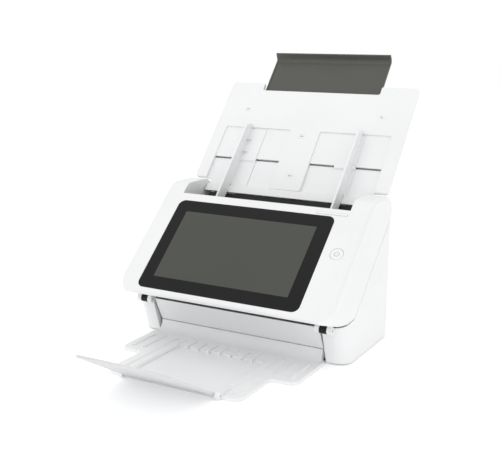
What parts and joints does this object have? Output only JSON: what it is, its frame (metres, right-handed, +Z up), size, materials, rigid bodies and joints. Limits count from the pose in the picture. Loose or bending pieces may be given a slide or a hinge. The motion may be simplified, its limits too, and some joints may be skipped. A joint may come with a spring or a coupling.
{
  "type": "sheet fed document scanner",
  "caption": "Desktop sheet fed scanner: hinged touch-screen cover, sloping input tray with paired guides and extension, roller paper path, pull-off output tray with folding stopper.",
  "frame": {"origin": "centre of the bounding box at the table surface", "axes": "+X to the user's right, +Y to the rear, +Z up"},
  "size_m": [0.288, 0.5129, 0.3513],
  "materials": {
    "white_plastic": "fine satin moulded",
    "smoke_plastic": "semi-gloss translucent smoke",
    "stopper_plastic": "satin",
    "black_plastic": "satin",
    "touch_glass": "glossy black-printed cover glass",
    "scan_glass": "clear",
    "display_metal": "stamped frame",
    "rubber": "matte",
    "steel": "plated",
    "roller_plastic": "natural acetal",
    "bronze": "sintered",
    "board": "solder mask",
    "port_plastic": "moulded"
  },
  "bodies": {
    "housing": {"rear_housing": "white_plastic", "hinge_bracket_left": "black_plastic", "hinge_bracket_right": "black_plastic", "bottom_plate": "black_plastic", "rubber_feet": "rubber", "housing_screws": "steel", "apron_panel": "white_plastic", "paper_chute": "white_plastic", "lower_guide_plate": "black_plastic", "side_frame_left": "steel", "side_frame_right": "steel", "cross_bars": "steel", "shaft_bushes": "bronze", "rear_scan_module": "black_plastic", "rear_scan_glass": "scan_glass", "main_board": "board", "power_inlet": "port_plastic", "usb_port": "port_plastic", "network_port": "port_plastic", "drive_motor": "steel", "motor_bracket": "steel", "timing_belt": "rubber", "motor_belt": "rubber"},
    "feed_roller": {"feed_roller_shaft": "steel", "feed_roller_tyres": "rubber", "feed_roller_pulley": "roller_plastic"},
    "upper_roller": {"upper_roller_shaft": "steel", "upper_roller_tyres": "rubber", "upper_roller_pulley": "roller_plastic"},
    "lower_roller": {"lower_roller_shaft": "steel", "lower_roller_tyres": "rubber", "lower_roller_pulleys": "roller_plastic"},
    "motor_output": {"motor_pulley": "steel"},
    "front_cover": {"cover_shell": "white_plastic", "cover_inner_frame": "black_plastic", "touch_glass": "touch_glass", "display_module": "display_metal", "display_board": "board", "front_scan_module": "black_plastic", "front_scan_glass": "scan_glass", "hinge_arm_left": "white_plastic", "hinge_arm_right": "white_plastic", "hinge_pins": "steel"},
    "separation_roller": {"separation_roller_shaft": "steel", "separation_roller_tyre": "rubber"},
    "upper_idler_roller": {"upper_idler": "roller_plastic"},
    "lower_idler_roller": {"lower_idler": "roller_plastic"},
    "power_key": {"power_button": "white_plastic"},
    "release_key": {"release_button": "white_plastic"},
    "input_tray": {"input_tray_panel": "white_plastic", "tray_back_cover": "white_plastic"},
    "pinion": {"guide_pinion": "black_plastic"},
    "guide_left_slider": {"guide_left": "white_plastic", "rack_left": "black_plastic"},
    "guide_right_slider": {"guide_right": "white_plastic", "rack_right": "black_plastic"},
    "extension": {"tray_extension": "smoke_plastic"},
    "output_tray": {"output_tray": "white_plastic", "stopper_pins": "steel"},
    "stopper": {"paper_stopper": "stopper_plastic"}
  },
  "joints": [
    {"name": "cover_hinge", "type": "hinge", "parent": "housing", "child": "front_cover", "pos_m": [0, -0.0307, 0.0485], "axis": [1, 0, 0], "range_deg": [0, 65]},
    {"name": "lower_roller_spin", "type": "hinge", "parent": "housing", "child": "lower_roller", "pos_m": [0, 0.00835, 0.05996], "axis": [1, 0, 0], "continuous": true},
    {"name": "upper_roller_spin", "type": "hinge", "parent": "housing", "child": "upper_roller", "pos_m": [0, 0.06983, 0.12314], "axis": [1, 0, 0], "continuous": true},
    {"name": "feed_roller_spin", "type": "hinge", "parent": "housing", "child": "feed_roller", "pos_m": [0, 0.09119, 0.1404], "axis": [1, 0, 0], "continuous": true},
    {"name": "motor_spin", "type": "hinge", "parent": "housing", "child": "motor_output", "pos_m": [0, 0.0533, 0.036], "axis": [1, 0, 0], "continuous": true},
    {"name": "separation_roller_spin", "type": "hinge", "parent": "front_cover", "child": "separation_roller", "pos_m": [0, 0.07424, 0.1549], "axis": [1, 0, 0], "continuous": true},
    {"name": "upper_idler_spin", "type": "hinge", "parent": "front_cover", "child": "upper_idler_roller", "pos_m": [0, 0.05973, 0.13179], "axis": [1, 0, 0], "continuous": true},
    {"name": "lower_idler_spin", "type": "hinge", "parent": "front_cover", "child": "lower_idler_roller", "pos_m": [0, 0.00103, 0.07106], "axis": [1, 0, 0], "continuous": true},
    {"name": "power_button_press", "type": "slide", "parent": "front_cover", "child": "power_key", "axis": [0, 0.6674, -0.7447], "range_m": [0, 0.0008], "stiffness_N_per_m": 400, "springref_m": -0.0004},
    {"name": "release_button_press", "type": "slide", "parent": "front_cover", "child": "release_key", "axis": [0, 0.6674, -0.7447], "range_m": [0, 0.0012], "stiffness_N_per_m": 400, "springref_m": -0.0004},
    {"name": "input_tray_lift_off", "type": "slide", "parent": "housing", "child": "input_tray", "axis": [0, 0.6502, 0.7597], "range_m": [0, 0.06]},
    {"name": "guide_left_slide", "type": "slide", "parent": "input_tray", "child": "guide_left_slider", "axis": [1, 0, 0], "range_m": [-0.027, 0.035]},
    {"name": "guide_right_slide", "type": "slide", "parent": "input_tray", "child": "guide_right_slider", "axis": [1, 0, 0], "range_m": [-0.036, 0.028]},
    {"name": "guide_pinion_turn", "type": "hinge", "parent": "input_tray", "child": "pinion", "pos_m": [0, 0.14058, 0.20803], "axis": [0, -0.7597, 0.6502], "range_deg": [-260, 200]},
    {"name": "tray_extension_slide", "type": "slide", "parent": "input_tray", "child": "extension", "axis": [0, 0.6502, 0.7597], "range_m": [-0.052, 0]},
    {"name": "output_tray_pull_off", "type": "slide", "parent": "housing", "child": "output_tray", "axis": [0, -1, 0], "range_m": [0, 0.06]},
    {"name": "paper_stopper_fold", "type": "hinge", "parent": "output_tray", "child": "stopper", "pos_m": [0, -0.1632, 0.0046], "axis": [1, 0, 0], "range_deg": [-148, 0]}
  ],
  "couplings": [
    {"joint": "upper_roller_spin", "follows": "lower_roller_spin", "ratio": 1},
    {"joint": "feed_roller_spin", "follows": "lower_roller_spin", "ratio": 1},
    {"joint": "motor_spin", "follows": "lower_roller_spin", "ratio": 2},
    {"joint": "guide_right_slide", "follows": "guide_left_slide", "ratio": -1},
    {"joint": "guide_pinion_turn", "follows": "guide_left_slide", "rad_per_m": -125}
  ]
}
